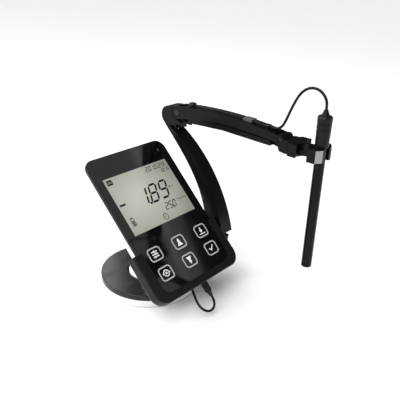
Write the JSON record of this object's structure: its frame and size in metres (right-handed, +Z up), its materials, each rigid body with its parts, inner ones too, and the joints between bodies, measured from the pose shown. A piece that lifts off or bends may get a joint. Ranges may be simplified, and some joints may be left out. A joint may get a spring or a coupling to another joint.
{
  "type": "digital pH meter",
  "caption": "Bench digital pH meter leaning in a cradle on a round swivel stand, with a folding parallelogram arm that holds an upright electrode.",
  "frame": {"origin": "centre of the round foot, on the surface it stands on", "axes": "+Z up; the display faces -Y and upwards; the arm stands on the +X side"},
  "size_m": [0.1713, 0.2507, 0.2722],
  "materials": {
    "white_plastic": "satin",
    "black_gloss": "glossy",
    "black_satin": "satin",
    "arm_black": "semi-gloss",
    "glass_black": "polished",
    "display": "polished",
    "indicator": "polished",
    "rubber_black": "matte",
    "rubber_grey": "matte",
    "steel": "brushed",
    "black_steel": "satin",
    "brass": "bright",
    "light_grey": "satin",
    "board_green": "satin",
    "cable_black": "satin",
    "nylon_white": "satin",
    "bulb_glass": "clear"
  },
  "bodies": {
    "base": {"foot_pad": "rubber_grey", "base_shell": "white_plastic", "ballast_plate": "steel", "base_top_plate": "black_gloss", "base_screws": "steel", "friction_washer": "nylon_white", "thrust_washer": "nylon_white"},
    "dock": {"swivel_bolt": "steel", "swivel_hub": "white_plastic", "hub_screws": "steel", "stand_neck": "white_plastic", "neck_screws": "steel", "cradle_tray": "black_satin", "tray_pads": "rubber_black", "dock_screws": "steel", "dock_shell": "white_plastic", "lead_grommet": "rubber_black", "arm_bracket": "arm_black", "bracket_screws": "steel", "turret_post": "steel", "dock_lead": "cable_black"},
    "meter": {"front_panel": "glass_black", "lcd_module": "display", "sensor_window": "indicator", "panel_gasket": "rubber_black", "meter_shell": "white_plastic", "meter_screws": "steel", "touch_foil": "brass", "main_board": "board_green", "board_chips": "black_satin", "probe_jack": "brass", "battery_pack": "light_grey", "beeper": "black_satin"},
    "plug": {"plug_body": "black_satin", "plug_pin": "brass", "plug_relief": "rubber_black", "meter_lead": "cable_black"},
    "turret": {"turret_yoke": "arm_black", "turret_pivot_screws": "black_steel", "turret_bar_pin": "black_steel", "turret_lead": "cable_black"},
    "lower_arm": {"lower_arm_channel": "arm_black", "lower_arm_lead": "cable_black"},
    "lower_link": {"lower_bar": "arm_black"},
    "elbow": {"elbow_knuckle": "arm_black", "elbow_pins": "black_steel", "elbow_bar_pins": "black_steel", "elbow_pivot_screws": "black_steel", "elbow_lead": "cable_black"},
    "upper_arm": {"upper_arm_beam": "arm_black", "upper_arm_lead": "cable_black", "lead_clip": "rubber_grey", "lead_keepers": "black_gloss", "electrode_lead": "cable_black"},
    "upper_link": {"upper_bar": "arm_black"},
    "head": {"head_clamp": "arm_black", "head_pins": "black_steel", "electrode_shaft": "black_gloss", "electrode_tip": "black_gloss", "electrode_cap": "black_satin"}
  },
  "joints": [
    {"name": "stand_swivel", "type": "hinge", "parent": "base", "child": "dock", "pos_m": [0, 0, 0], "axis": [0, 0, 1], "range_deg": [-90, 90]},
    {"name": "meter_lift", "type": "slide", "parent": "dock", "child": "meter", "axis": [0, 0.7211, 0.6928], "range_m": [0, 0.075]},
    {"name": "plug_pull", "type": "slide", "parent": "dock", "child": "plug", "axis": [0, -0.7211, -0.6928], "range_m": [0, 0.012], "deforming": ["meter_lead"]},
    {"name": "arm_swing", "type": "hinge", "parent": "dock", "child": "turret", "pos_m": [0.084, -0.044, 0.035], "axis": [0, 0, 1], "range_deg": [0, 20]},
    {"name": "lower_fold", "type": "hinge", "parent": "turret", "child": "lower_arm", "pos_m": [0.084, -0.0455, 0.071], "axis": [1, 0, 0], "range_deg": [0, 40]},
    {"name": "lower_bar_fold", "type": "hinge", "parent": "turret", "child": "lower_link", "pos_m": [0.084, -0.0385, 0.066], "axis": [1, 0, 0], "range_deg": [-1, 41]},
    {"name": "elbow_level", "type": "hinge", "parent": "lower_arm", "child": "elbow", "pos_m": [0.084, 0.04, 0.2], "axis": [1, 0, 0], "range_deg": [-41, 1]},
    {"name": "upper_fold", "type": "hinge", "parent": "elbow", "child": "upper_arm", "pos_m": [0.084, 0.026, 0.2065], "axis": [1, 0, 0], "range_deg": [-35, 20]},
    {"name": "upper_bar_fold", "type": "hinge", "parent": "elbow", "child": "upper_link", "pos_m": [0.084, 0.0253, 0.1955], "axis": [1, 0, 0], "range_deg": [-36, 21]},
    {"name": "head_level", "type": "hinge", "parent": "upper_arm", "child": "head", "pos_m": [0.084, -0.1325, 0.209], "axis": [1, 0, 0], "range_deg": [-21, 36], "deforming": ["electrode_lead"]}
  ],
  "couplings": [
    {"joint": "lower_bar_fold", "follows": "lower_fold", "ratio": 1},
    {"joint": "elbow_level", "follows": "lower_fold", "ratio": -1},
    {"joint": "upper_bar_fold", "follows": "upper_fold", "ratio": 1},
    {"joint": "head_level", "follows": "upper_fold", "ratio": -1}
  ]
}
